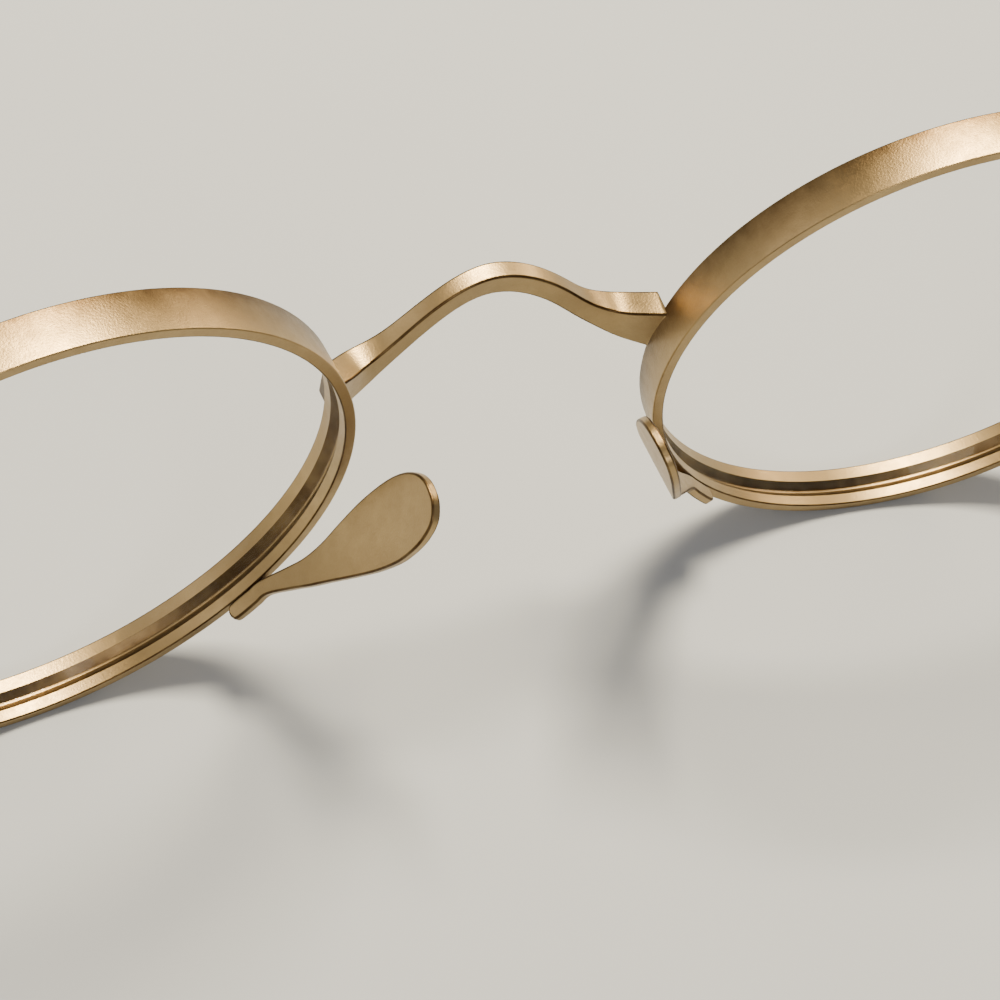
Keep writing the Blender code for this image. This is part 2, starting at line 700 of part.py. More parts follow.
def build():
    clear_scene()
    whole = bpy.data.objects.new("eyeglasses", None)
    bpy.context.scene.collection.objects.link(whole)
    ear_bend = ear_bend_to_reach(-RIM_RADIUS)
    layer = KNUCKLE_HEIGHT + KNUCKLE_GAP
    cutters = {}
    for side, mirror in (("left", False), ("right", True)):
        cutter = rim_clearance(side, mirror)
        cutters[side] = cutter
        rim(side, mirror)
        lens(side, mirror)
        nose_pad(side, mirror)
        endpiece(side, mirror, cutter)
        closing_block(side, mirror, cutter)
        lock_screw(side, mirror)
        front_knuckles = ((-layer, KNUCKLE_HEIGHT), (layer, KNUCKLE_HEIGHT))
        hinge_leaf(f"hinge_front_leaf_{side}", -1, front_knuckles, mirror)
        hinge_screw(side, mirror)
        hinge_washer(f"hinge_washer_upper_{side}", layer / 2, mirror)
        hinge_washer(f"hinge_washer_lower_{side}", -layer / 2, mirror)
        folding = fold_axis(side, mirror, whole)
        hinge_leaf(f"hinge_temple_leaf_{side}", 1, ((0.0, KNUCKLE_HEIGHT),), mirror, folding)
        temple(side, mirror, folding, ear_bend)
        temple_tip(side, mirror, folding, ear_bend)
    bridge(cutters.values())
    for obj in bpy.data.objects:
        if obj.parent is None and obj is not whole:
            obj.parent = whole
    front = -BRIDGE_ROWS[0][1] - BRIDGE_ROWS[0][3] / 2
    back = np.concatenate(tip_outside(ear_bend))[:, 1].max()
    whole.location = (0, -(front + back) / 2 * MM, RIM_RADIUS * MM)


build()
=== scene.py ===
"""Round wire eyeglasses in satin antique gold, with clear lenses and dark acetate temple tips.

Shapes are modelled in millimetres around the point midway between the rims' centres, as in the
CAD model, and moved to the frame when a mesh is made. Left is the wearer's left, at +X, and each
left-hand piece is mirrored for the right-hand side.
"""

from math import asin, cos, pi, radians, sin

import bmesh
import bpy
import numpy as np
from mathutils import Matrix, Vector


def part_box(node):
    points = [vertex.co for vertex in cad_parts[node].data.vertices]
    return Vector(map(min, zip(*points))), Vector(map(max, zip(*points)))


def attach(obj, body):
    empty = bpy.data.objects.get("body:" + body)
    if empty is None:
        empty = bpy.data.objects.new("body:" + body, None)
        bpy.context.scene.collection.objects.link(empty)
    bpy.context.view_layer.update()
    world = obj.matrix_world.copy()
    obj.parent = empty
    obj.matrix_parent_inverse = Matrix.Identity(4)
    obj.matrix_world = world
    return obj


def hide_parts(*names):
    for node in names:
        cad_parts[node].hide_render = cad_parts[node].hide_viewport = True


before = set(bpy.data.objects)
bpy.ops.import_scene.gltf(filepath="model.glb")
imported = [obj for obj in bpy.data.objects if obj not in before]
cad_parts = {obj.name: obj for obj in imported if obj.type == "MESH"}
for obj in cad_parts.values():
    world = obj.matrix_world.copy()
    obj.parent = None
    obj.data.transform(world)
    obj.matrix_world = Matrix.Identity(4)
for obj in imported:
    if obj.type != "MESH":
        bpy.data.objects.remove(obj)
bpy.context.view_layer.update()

MM = 0.001
X, Y, Z = np.eye(3)
rim_low, rim_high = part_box("rim_left")
RIM_MIDDLE = (np.array(rim_low) + np.array(rim_high)) / 2 / MM
MIDDLE = RIM_MIDDLE * (0.0, 1.0, 1.0)

RIM_RADIUS = 23.0
RIM_THICKNESS = 0.84
RIM_DEPTH = 3.4
RIM_WRAP = radians(6.0)
RIM_STEPS = 300
RIM_CORNER = 0.1
GROOVE_DEPTH = 0.46
GROOVE_HALF_WIDTH = 0.7
GROOVE_FLOOR_HALF_WIDTH = 0.1
GROOVE_MIDDLE = 0.07
# How strongly the groove is browned: patina and painted shade together
GROOVE_PATINA_AND_SHADE = 0.9
SLIT_HEIGHT = 5.8
SLIT_WIDTH = 0.24

RING_CENTRE = RIM_MIDDLE[0] * X
RING_OUT = cos(RIM_WRAP) * X + sin(RIM_WRAP) * Y
RING_BACK = -sin(RIM_WRAP) * X + cos(RIM_WRAP) * Y


# ---------------------------------------------------------------- shapes

# Every round corner is an arc of a few steps, held by a point a short way to each side. The worn
# brown is full on the arc and weaker where it ends.
ARC_STEPS = 4
HOLD = 0.02
ARC_END = 0.6


def unit(vector):
    return vector / np.linalg.norm(vector)


def spline(rows, places):
    """Points on a smooth curve through the rows, at places counted in rows."""
    rows = np.array(rows, float)
    last = len(rows) - 1
    rows = np.vstack([2 * rows[0] - rows[1], rows, 2 * rows[-1] - rows[-2]])
    samples = []
    for at in places:
        i = min(int(at), last - 1)
        t = at - i
        a, b, c, d = rows[i : i + 4]
        bend = (2 * a - 5 * b + 4 * c - d) * t**2 + (3 * b - 3 * c + d - a) * t**3
        samples.append(b + 0.5 * ((c - a) * t + bend))
    return np.array(samples)


def rounded(polygon, radii, steps=ARC_STEPS, hold=HOLD):
    """A closed polygon with round corners, as points and a value that is 1 on the corners. Each
    arc has a point a short way before and after it, so that the flat faces beside it shade flat."""
    polygon = np.array(polygon, float)
    points, corners = [], []
    for i, corner in enumerate(polygon):
        before = unit(polygon[i - 1] - corner)
        after = unit(polygon[(i + 1) % len(polygon)] - corner)
        half = np.arccos(np.clip(before @ after, -1, 1)) / 2
        radius = radii[i]
        reach = radius / np.tan(half)
        centre = corner + unit(before + after) * radius / sin(half)
        start = corner + before * reach - centre
        end = corner + after * reach - centre
        points.append(corner + before * (reach + hold))
        corners.append(0.0)
        for t in np.linspace(0, 1, steps + 1):
            points.append(centre + unit(start * (1 - t) + end * t) * radius)
            corners.append(1.0 if 0 < t < 1 else ARC_END)
        points.append(corner + after * (reach + hold))
        corners.append(0.0)
    return np.array(points), np.array(corners)


def rectangle(width, height, radius, steps=ARC_STEPS):
    """A rectangle with round corners, centred on 0. The corners shrink to fit a small one."""
    radius = min(radius, 0.46 * width, 0.46 * height)
    corners = np.array(((1, 1), (-1, 1), (-1, -1), (1, -1))) * (width / 2, height / 2)
    return rounded(corners, [radius] * 4, steps, min(HOLD, 0.02 * min(width, height)))


def placed(section, centre, across, up):
    return centre + np.outer(section[:, 0], across) + np.outer(section[:, 1], up)


def lofted(loops, closed=False):
    """Faces of a skin over equal loops. An open skin gets a cap at each end."""
    size = len(loops[0])
    faces = []
    last = len(loops) if closed else len(loops) - 1
    for i in range(last):
        here = i * size
        there = (i + 1) % len(loops) * size
        for j in range(size):
            k = (j + 1) % size
            faces.append((here + j, here + k, there + k, there + j))
    if not closed:
        faces.append(tuple(range(size)))
        faces.append(tuple(range(len(loops) * size - 1, (len(loops) - 1) * size - 1, -1)))
    return faces


def piece(name, body, points, faces, look, mirror=False, replaces=(), edges=None, angle=40):
    """A visible piece from points in millimetres, which rides on a body and may stand for CAD
    nodes."""
    points = np.array(points, float)
    if mirror:
        points = points * (-1.0, 1.0, 1.0)
    mesh = bpy.data.meshes.new(name)
    mesh.from_pydata([tuple(p) for p in (points + MIDDLE) * MM], [], [tuple(f) for f in faces])
    shape = bmesh.new()
    shape.from_mesh(mesh)
    bmesh.ops.recalc_face_normals(shape, faces=shape.faces)
    if shape.calc_volume(signed=True) < 0:
        bmesh.ops.reverse_faces(shape, faces=shape.faces)
    shape.to_mesh(mesh)
    shape.free()
    if edges is not None:
        layer = mesh.attributes.new("edge", "FLOAT", "POINT")
        layer.data.foreach_set("value", np.array(edges, np.float32))
    mesh.shade_smooth()
    mesh.set_sharp_from_angle(angle=radians(angle))
    mesh.materials.append(look)
    made = bpy.data.objects.new(name, mesh)
    bpy.context.scene.collection.objects.link(made)
    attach(made, body)
    if replaces:
        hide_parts(*replaces)


# ---------------------------------------------------------------- materials

GOLD_TONE = (0.41, 0.293, 0.142, 1)
GOLD_SHADE = (0.27, 0.188, 0.09, 1)
# Brown of patina on the edges, and of patina with painted shade in the rims' groove
PATINA_AND_SHADE_BROWN = (0.050, 0.026, 0.010, 1)
STEEL_TONE = (0.60, 0.53, 0.42, 1)
STEEL_SHADE = (0.42, 0.35, 0.26, 1)
NYLON_TONE = (0.80, 0.77, 0.69, 1)
NYLON_SHADE = (0.70, 0.66, 0.57, 1)
ACETATE_DARK = (0.022, 0.011, 0.006, 1)
ACETATE_AMBER = (0.20, 0.075, 0.018, 1)
COATING_GREEN = (0.72, 0.86, 0.80, 1)
COATING_BLUE = (0.78, 0.82, 0.90, 1)
LENS_LEAST_GLOSS = 0.008
LENS_MOST_GLOSS = 0.16
FLOOR_TONE = (0.47, 0.50, 0.54, 1)
FLOOR_SHADE = (0.445, 0.475, 0.515, 1)


class Graph:
    """A material's nodes, with a short way to add and join them."""

    def __init__(self, name):
        self.material = bpy.data.materials.new(name)
        self.material.use_nodes = True
        self.tree = self.material.node_tree
        self.tree.nodes.clear()

    def add(self, kind, inputs=None, **settings):
        node = self.tree.nodes.new(kind)
        for key, value in settings.items():
            setattr(node, key, value)
        for key, value in (inputs or {}).items():
            if hasattr(value, "is_output"):
                self.tree.links.new(value, node.inputs[key])
            else:
                node.inputs[key].default_value = value
        return node

    def noise(self, scale, detail=2.0, roughness=0.5, stretch=(1, 1, 1)):
        place = self.add("ShaderNodeTexCoord").outputs["Object"]
        if tuple(stretch) != (1, 1, 1):
            place = self.add("ShaderNodeMapping", {"Vector": place, "Scale": stretch}).outputs[0]
        inputs = {"Vector": place, "Scale": scale, "Detail": detail, "Roughness": roughness}
        return self.add("ShaderNodeTexNoise", inputs).outputs["Fac"]

    def ramp(self, value, low, high, out_low=0.0, out_high=1.0):
        inputs = {0: value, 1: low, 2: high, 3: out_low, 4: out_high}
        return self.add("ShaderNodeMapRange", inputs).outputs[0]

    def math(self, operation, a, b, clamp=False):
        settings = {"operation": operation, "use_clamp": clamp}
        return self.add("ShaderNodeMath", {0: a, 1: b}, **settings).outputs[0]

    def blend(self, share, a, b):
        node = self.add("ShaderNodeMix", data_type="RGBA")
        for socket, value in zip((node.inputs[0], node.inputs[6], node.inputs[7]), (share, a, b)):
            if hasattr(value, "is_output"):
                self.tree.links.new(value, socket)
            else:
                socket.default_value = value
        return node.outputs[2]

    def bump(self, height, distance, strength=1.0, normal=None):
        inputs = {"Height": height, "Distance": distance, "Strength": strength}
        if normal is not None:
            inputs["Normal"] = normal
        return self.add("ShaderNodeBump", inputs).outputs[0]

    def finish(self, shader):
        self.add("ShaderNodeOutputMaterial", {"Surface": shader})
        return self.material


def gold(name, brushed=False):
    """Satin antique gold: a fine blasted grain, soft cloudy tone, brown patina along the edges, and
    brown patina with painted shade in the rims' groove.
    """
    g = Graph(name)
    cloud = g.noise(130.0, 3.0, 0.55)
    mottle = g.noise(900.0, 3.0, 0.6)
    grain = g.noise(6500.0, 2.0, 0.6)
    tone = g.blend(g.ramp(cloud, 0.35, 0.68, 0.0, 0.6), GOLD_TONE, GOLD_SHADE)
    tone = g.blend(g.ramp(mottle, 0.3, 0.75, 0.0, 0.35), tone, GOLD_SHADE)
    tone = g.blend(g.ramp(grain, 0.35, 0.75, 0.0, 0.18), tone, GOLD_SHADE)
    # Brown where the edge attribute is set: patina on the edges, and patina with painted shade in
    # the rims' groove.
    edge = g.add("ShaderNodeAttribute", attribute_name="edge").outputs["Fac"]
    brown_patches = g.ramp(g.noise(420.0, 3.0, 0.6), 0.3, 0.62, 0.72, 1.0)
    brown = g.math("MULTIPLY", edge, brown_patches, clamp=True)
    tone = g.blend(brown, tone, PATINA_AND_SHADE_BROWN)
    rough = g.ramp(mottle, 0.25, 0.8, 0.32, 0.42)
    rough = g.math("ADD", rough, g.ramp(grain, 0.3, 0.8, -0.02, 0.05))
    normal = g.bump(grain, 0.000025, 0.6)
    normal = g.bump(mottle, 0.00002, 0.07, normal)
    if brushed:
        hair = g.noise(2600.0, 2.0, 0.5, (1.0, 0.02, 1.0))
        normal = g.bump(hair, 0.000008, 0.5, normal)
    shader = g.add(
        "ShaderNodeBsdfPrincipled",
        {"Base Color": tone, "Roughness": rough, "Metallic": 1.0, "Normal": normal},
    )
    return g.finish(shader.outputs[0])


def steel(name):
    """Turned steel, slightly yellowed, with fine rings of tool marks."""
    g = Graph(name)
    mottle = g.noise(1500.0, 2.0, 0.5)
    tone = g.blend(g.ramp(mottle, 0.3, 0.7), STEEL_TONE, STEEL_SHADE)
    rough = g.ramp(mottle, 0.2, 0.8, 0.22, 0.34)
    normal = g.bump(g.noise(9000.0, 2.0, 0.5, (1.0, 1.0, 6.0)), 0.000006, 0.5)
    inputs = {"Base Color": tone, "Roughness": rough, "Metallic": 1.0, "Normal": normal}
    return g.finish(g.add("ShaderNodeBsdfPrincipled", inputs).outputs[0])


def nylon(name):
    """Matt natural nylon, for the hinge washers."""
    g = Graph(name)
    mottle = g.noise(2500.0, 2.0, 0.5)
    tone = g.blend(g.ramp(mottle, 0.3, 0.7), NYLON_TONE, NYLON_SHADE)
    normal = g.bump(mottle, 0.00001, 0.3)
    inputs = {
        "Base Color": tone,
        "Roughness": g.ramp(mottle, 0.2, 0.8, 0.42, 0.55),
        "Normal": normal,
    }
    return g.finish(g.add("ShaderNodeBsdfPrincipled", inputs).outputs[0])


def acetate(name):
    """Dark brown acetate with amber clouds deep in it, under a polished surface."""
    g = Graph(name)
    swirl = g.noise(90.0, 3.0, 0.55, (1.0, 0.35, 0.8))
    cells = g.noise(210.0, 4.0, 0.5)
    patches = g.ramp(g.math("ADD", swirl, g.math("MULTIPLY", cells, 0.4)), 0.62, 0.82)
    tone = g.blend(patches, ACETATE_DARK, ACETATE_AMBER)
    fine = g.noise(1700.0, 2.0, 0.5)
    rough = g.ramp(fine, 0.3, 0.8, 0.13, 0.21)
    normal = g.bump(g.noise(60.0, 1.0, 0.4), 0.00006, 0.25)
    inputs = {
        "Base Color": tone,
        "Roughness": rough,
        "Normal": normal,
        "Coat Weight": 0.5,
        "Coat Roughness": 0.05,
    }
    return g.finish(g.add("ShaderNodeBsdfPrincipled", inputs).outputs[0])


def clear_lens(name):
    """A coated clear lens: only a faint gloss is seen of it, stronger at a low angle."""
    g = Graph(name)
    smear = g.noise(35.0, 2.0, 0.5)
    tint = g.blend(g.ramp(smear, 0.3, 0.7), COATING_GREEN, COATING_BLUE)
    normal = g.bump(smear, 0.00002, 0.2)
    inputs = {
        "Base Color": tint,
        "Roughness": g.ramp(smear, 0.3, 0.7, 0.03, 0.06),
        "Metallic": 1.0,
        "Normal": normal,
    }
    gloss = g.add("ShaderNodeBsdfPrincipled", inputs)
    facing = g.add("ShaderNodeLayerWeight", {"Blend": 0.5}).outputs["Facing"]
    share = g.ramp(g.math("POWER", facing, 4.0), 0.0, 1.0, LENS_LEAST_GLOSS, LENS_MOST_GLOSS)
    through = g.add("ShaderNodeBsdfTransparent")
    mixed = g.add("ShaderNodeMixShader", {0: share, 1: through.outputs[0], 2: gloss.outputs[0]})
    return g.finish(mixed.outputs[0])


GOLD = gold("satin_gold")
GOLD_TEMPLE = gold("satin_gold_temple", brushed=True)
STEEL = steel("turned_steel")
NYLON = nylon("nylon")
ACETATE = acetate("dark_acetate")
LENS = clear_lens("clear_lens")


def gold_piece(name, body, loops, node, mirror, edges, faces=None, look=GOLD):
    """A gold piece from loops of points, which stands for one CAD node."""
    points = np.concatenate(loops)
    faces = lofted(loops) if faces is None else faces
    piece(name, body, points, faces, look, mirror, (node,), edges)


# ---------------------------------------------------------------- rims and lenses


def ring_point(angle, radius, depth):
    """A point on the left rim. The angle is 0 at the temple and grows upwards, and the depth is
    measured backwards."""
    return RING_CENTRE + radius * (cos(angle) * RING_OUT + sin(angle) * Z) + depth * RING_BACK


def rim_section():
    """The band's section as radius and depth, with brown patina along its edges, and brown inside
    its groove that is partly patina and partly painted shade. The back half of the groove's floor
    is left bright."""
    half = RIM_DEPTH / 2
    inner = RIM_RADIUS - RIM_THICKNESS
    groove = inner + GROOVE_DEPTH
    polygon = (
        (RIM_RADIUS, half),
        (RIM_RADIUS, -half),
        (inner, -half),
        (inner, GROOVE_MIDDLE - GROOVE_HALF_WIDTH),
        (groove, GROOVE_MIDDLE - GROOVE_FLOOR_HALF_WIDTH),
        (groove, GROOVE_MIDDLE + GROOVE_FLOOR_HALF_WIDTH),
        (inner, GROOVE_MIDDLE + GROOVE_HALF_WIDTH),
        (inner, half),
    )
    outer = [RIM_CORNER] * 3
    points, brown = rounded(polygon, (*outer, 0.03, 0.02, 0.02, 0.03, RIM_CORNER))
    # The groove's walls and the front half of its floor get painted shade together with patina; the
    # back half of the floor stays bright.
    walls = (points[:, 0] > inner + 0.005) & (abs(points[:, 1] - GROOVE_MIDDLE) < GROOVE_HALF_WIDTH)
    floor = points[:, 0] > groove - 0.03
    brown[walls] = GROOVE_PATINA_AND_SHADE
    brown[floor] = np.where(points[floor, 1] > GROOVE_MIDDLE, 0.0, GROOVE_PATINA_AND_SHADE)
    return points, brown


def make_rim(side, mirror):
    """The band, bent round from one side of the slit at the temple to the other."""
    slit = asin(SLIT_HEIGHT / RIM_RADIUS)
    half_gap = SLIT_WIDTH / 2 / RIM_RADIUS
    section, corners = rim_section()
    angles = np.linspace(slit + half_gap, slit + 2 * pi - half_gap, RIM_STEPS + 1)
    loops = [np.array([ring_point(a, r, d) for r, d in section]) for a in angles]
    edges = np.tile(corners, len(loops))
    name = f"rim_{side}"
    gold_piece(f"{name}_band", "front", loops, name, mirror, edges)


LENS_RADIUS = 21.9
LENS_BEVEL_RADIUS = 22.5
LENS_EDGE = 1.3
LENS_CENTRE = 1.6
LENS_FRONT_CURVE = 125.0
LENS_BEVEL_HALF_WIDTH = 0.04
LENS_MIDDLE_RADIUS = 0.6
LENS_LOOPS = 18
LENS_STEPS = 160


def bulge(curve, radius):
    """How far a sphere's cap stands above the plane of the lens's edge."""
    return (curve**2 - radius**2) ** 0.5 - (curve**2 - LENS_RADIUS**2) ** 0.5


def make_lens(side, mirror):
    """A meniscus lens whose bevelled edge sits in the rim's groove."""
    rise = bulge(LENS_FRONT_CURVE, 0) - (LENS_CENTRE - LENS_EDGE)
    back_curve = (LENS_RADIUS**2 + rise**2) / (2 * rise)
    radii = np.linspace(LENS_MIDDLE_RADIUS, LENS_RADIUS, LENS_LOOPS)
    front = [(r, GROOVE_MIDDLE - LENS_EDGE / 2 - bulge(LENS_FRONT_CURVE, r)) for r in radii]
    back = [(r, GROOVE_MIDDLE + LENS_EDGE / 2 - bulge(back_curve, r)) for r in radii[::-1]]
    bevel = [
        (LENS_BEVEL_RADIUS, GROOVE_MIDDLE - LENS_BEVEL_HALF_WIDTH),
        (LENS_BEVEL_RADIUS, GROOVE_MIDDLE + LENS_BEVEL_HALF_WIDTH),
    ]
    angles = np.arange(LENS_STEPS) * 2 * pi / LENS_STEPS
    profile = front + bevel + back
    loops = [np.array([ring_point(a, radius, depth) for a in angles]) for radius, depth in profile]
    points = np.concatenate(loops)
    name = f"lens_{side}"
    piece(f"{name}_glass", "front", points, lofted(loops), LENS, mirror, (name,), angle=30)


# ---------------------------------------------------------------- bridge

# Distance from the middle, forward reach, height, depth from front to back, and thickness
BRIDGE_ROWS = (
    (0.0, 7.9, 6.9, 1.45, 1.9),
    (2.5, 7.6, 6.5, 1.4, 1.75),
    (5.0, 7.1, 5.15, 1.4, 1.6),
    (7.5, 6.75, 2.95, 1.6, 1.6),
    (10.0, 6.2, 1.75, 2.1, 2.3),
    (11.7, 5.3, 1.75, 2.1, 3.6),
    (13.4, 4.35, 2.0, 2.1, 4.6),
    (14.6, 3.7, 2.15, 2.1, 4.8),
)
BRIDGE_STEPS = 240
BRIDGE_SMOOTHING = 0.75
BRIDGE_CORNER = 0.16
BRIDGE_OVERLAP = 0.05
SOLDER_RADIUS = 0.2
SOLDER_SHARE = 0.03
SOLDER_STEPS = 8
SOLDER_FADE = 0.4
SOLDER_AT_FRONT = 0.2


def smoothed(rows, steps, width):
    """The rows at even distances along X, averaged over a width with a bell-shaped weight."""
    reach = rows[-1, 0]
    spacing = 2 * reach / steps
    margin = int(3 * width / spacing)
    places = np.linspace(-reach, reach, steps + 1)
    even = np.array([np.interp(places, rows[:, 0], column) for column in rows.T]).T
    before = 2 * even[0] - even[margin:0:-1]
    after = 2 * even[-1] - even[-2 : -margin - 2 : -1]
    padded = np.vstack([before, even, after])
    weights = np.exp(-0.5 * (np.arange(-margin, margin + 1) * spacing / width) ** 2)
    weights /= weights.sum()
    return np.array([np.convolve(column, weights, "valid") for column in padded.T]).T


def make_bridge():
    """A bar that arches up and forwards, and flares where it meets the rims."""
    half = [(x, -y, z, depth, tall) for x, y, z, depth, tall in BRIDGE_ROWS]
    other_half = [(-x, *rest) for x, *rest in half[:0:-1]]
    rows = spline(other_half + half, np.linspace(0, 2 * len(half) - 2, 4 * BRIDGE_STEPS + 1))
    rows = smoothed(rows, BRIDGE_STEPS, BRIDGE_SMOOTHING)
    loops = []
    for i, row in enumerate(rows):
        along = unit(rows[min(i + 1, BRIDGE_STEPS), :3] - rows[max(i - 1, 0), :3])
        across = unit(Y - (Y @ along) * along)
        section, corners = rectangle(row[3], row[4], BRIDGE_CORNER)
        loops.append(placed(section, row[:3], across, np.cross(along, across)))
    loops = flare_to_rims(trim_to_rims(np.array(loops)))
    edges = np.tile(corners, (len(loops), 1))
    edges[[0, -1]] = 1.0
    gold_piece("bridge_bar", "front", loops, "bridge", False, edges.ravel())


def outside_rim(point):
    """How far a point is outside the nearer rim's outer surface, less a little for the joint."""
    point = point * (1 if point[0] > 0 else -1, 1, 1)
    from_centre = point - RING_CENTRE
    radius = np.hypot(from_centre @ RING_OUT, from_centre[2])
    return radius - (RIM_RADIUS - BRIDGE_OVERLAP)


def trim_to_rims(loops):
    """Shortens every line along the bridge so that it ends in the rims' outer surfaces, with closer
    points along the part that the solder covers."""
    count = len(loops)
    middle = count // 2
    in_solder = np.linspace(0, SOLDER_SHARE, SOLDER_STEPS + 1)[:-1]
    spread = np.concatenate([in_solder, np.linspace(SOLDER_SHARE, 1, middle)])
    trimmed = []
    for j in range(loops.shape[1]):
        line = loops[:, j]
        ends = []
        for step in (-1, 1):
            i = middle
            while 0 < i < count - 1 and outside_rim(line[i + step]) > 0:
                i += step
            here, there = outside_rim(line[i]), outside_rim(line[i + step])
            ends.append(i + step * here / (here - there))
        first = ends[0] + (middle - ends[0]) * spread
        second = ends[1] + (middle - ends[1]) * spread
        places = np.concatenate([first, second[-2::-1]])
        whole = np.minimum(places.astype(int), count - 2)
        share = (places - whole)[:, None]
        trimmed.append(line[whole] * (1 - share) + line[whole + 1] * share)
    return np.array(trimmed).transpose(1, 0, 2)


def flare_to_rims(loops):
    """Grows the ends of the bridge into a hollow fillet of solder where they stand on the rims. It
    fades out past the rim's front edge."""
    flared = loops.copy()
    for i in range(len(loops)):
        end = 0 if i < len(loops) / 2 else -1
        outward = loops[i] - loops[i].mean(0)
        for j in range(loops.shape[1]):
            away = min(1.0, np.linalg.norm(loops[i, j] - loops[end, j]) / SOLDER_RADIUS)
            if away == 1.0:
                continue
            point = loops[end, j] * (1 if end else -1, 1, 1)
            behind_front = (point - RING_CENTRE) @ RING_BACK + RIM_DEPTH / 2
            on_rim = np.clip(behind_front / SOLDER_FADE + SOLDER_AT_FRONT, 0, 1)
            growth = SOLDER_RADIUS * (1 - (1 - (1 - away) ** 2) ** 0.5) * on_rim
            flared[i, j] += unit(outward[j] * (0, 1, 1)) * growth
    return flared


# ---------------------------------------------------------------- nose pads

PAD_TAIL_GAP = 0.01
PAD_TAIL_THICKNESS = 0.8
PAD_BLADE_THICKNESS = 0.7
# The angle below the rim's nasal point, and the tail's front and back edge behind the rim
PAD_TAIL_ROWS = (
    (47.9, 0.45, 0.8),
    (47.3, 0.08, 1.2),
    (45.5, 0.0, 1.28),
    (42.0, 0.0, 1.28),
    (39.0, 0.03, 1.32),
)
# The distance up the blade, and its front and back edge
PAD_BLADE_ROWS = (
    (2.1, -0.6, 1.1),
    (4.0, -0.7, 1.5),
    (6.0, -1.15, 1.87),
    (8.4, -1.95, 2.37),
    (10.9, -2.57, 2.86),
    (13.4, -2.82, 3.16),
    (15.1, -2.76, 3.12),
    (16.6, -2.45, 2.92),
    (17.7, -1.95, 2.57),
    (18.4, -1.38, 2.18),
    (18.85, -0.7, 1.7),
    (19.1, 0.1, 1.05),
    (19.16, 0.42, 0.72),
)
PAD_FOOT = np.array((17.05, 0.52, -13.9))
PAD_FACE = np.array((0.776, 0.023, 0.630))
PAD_BACK = np.array((0.143, 0.967, -0.210))
PAD_BEND_RADIUS = 46.5
PAD_BEND_LENGTH = 16.0
PAD_STEPS = 200
PAD_CORNER = 0.16
# The rows between which the tail thins into the blade
PAD_THINNING = (4.0, 9.0)


def pad_point(distance_up, distance_back):
    """A point on the blade's middle surface, which bends gently outwards and then runs straight."""
    back = unit(PAD_BACK)
    face = unit(PAD_FACE - (PAD_FACE @ back) * back)
    up = np.cross(face, back)
    turn = min(distance_up, PAD_BEND_LENGTH) / PAD_BEND_RADIUS
    beyond = max(distance_up - PAD_BEND_LENGTH, 0.0)
    rise = PAD_BEND_RADIUS * sin(turn) + beyond * cos(turn)
    outwards = PAD_BEND_RADIUS * (1 - cos(turn)) + beyond * sin(turn)
    return PAD_FOOT + rise * up + outwards * face + distance_back * back


def pad_rows():
    """The pad's two edges from the tail's end to the blade's tip, as six numbers in each row."""
    radius = RIM_RADIUS - RIM_THICKNESS / 2
    rows = []
    for angle, *edges in PAD_TAIL_ROWS:
        depths = [RIM_DEPTH / 2 + PAD_TAIL_GAP + edge for edge in edges]
        rows.append([ring_point(pi + radians(angle), radius, depth) for depth in depths])
    for distance_up, *edges in PAD_BLADE_ROWS:
        rows.append([pad_point(distance_up, edge) for edge in edges])
    return [np.concatenate(row) for row in rows]


def make_pad(side, mirror):
    """A flat blade with a narrow tail: its outline, rounded over towards both faces."""
    rows = pad_rows()
    places = np.linspace(0, len(rows) - 1, PAD_STEPS + 1)
    lines = spline(rows, places)
    middles = (lines[:, :3] + lines[:, 3:]) / 2
    normals = np.cross(np.gradient(middles, axis=0), lines[:, 3:] - lines[:, :3])
    normals /= np.linalg.norm(normals, axis=1)[:, None]
    thinned = np.clip((places - PAD_THINNING[0]) / (PAD_THINNING[1] - PAD_THINNING[0]), 0.0, 1.0)
    half = (PAD_TAIL_THICKNESS + thinned * (PAD_BLADE_THICKNESS - PAD_TAIL_THICKNESS)) / 2
    outline = np.concatenate([lines[:, :3], lines[::-1, 3:]])
    normals = np.concatenate([normals, normals[::-1]])
    half = np.concatenate([half, half[::-1]])[:, None]
    inwards = np.cross(normals, np.roll(outline, -1, axis=0) - np.roll(outline, 1, axis=0))
    inwards /= np.linalg.norm(inwards, axis=1)[:, None]
    if (inwards * (np.concatenate([middles, middles[::-1]]) - outline)).sum() < 0:
        inwards = -inwards
    turns = np.linspace(pi / 2, 0, ARC_STEPS + 1)
    insets = [PAD_CORNER + HOLD, *(PAD_CORNER * (1 - np.cos(turns))), 0.0]
    drops = [0.0, *(PAD_CORNER * (1 - np.sin(turns))), PAD_CORNER + HOLD]
    brown = [0.0, ARC_END, 1.0, 1.0, 1.0, ARC_END, 0.0]
    upper = [outline + inwards * e + normals * (half - d) for e, d in zip(insets, drops)]
    lower = [outline + inwards * e - normals * (half - d) for e, d in zip(insets, drops)]
    loops = upper + lower[::-1]
    edges = np.repeat(brown + brown[::-1], len(outline))
    size = len(outline)
    sides = lofted(loops)[:-2]
    across = []
    for start in (0, (len(loops) - 1) * size):
        for i in range(PAD_STEPS):
            here, there = start + i, start + size - 1 - i
            across.append((here, here + 1, there - 1, there))
    name = f"nose_pad_{side}"
    gold_piece(f"{name}_blade", "front", loops, name, mirror, edges, sides + across)


# ---------------------------------------------------------------- temples and tips

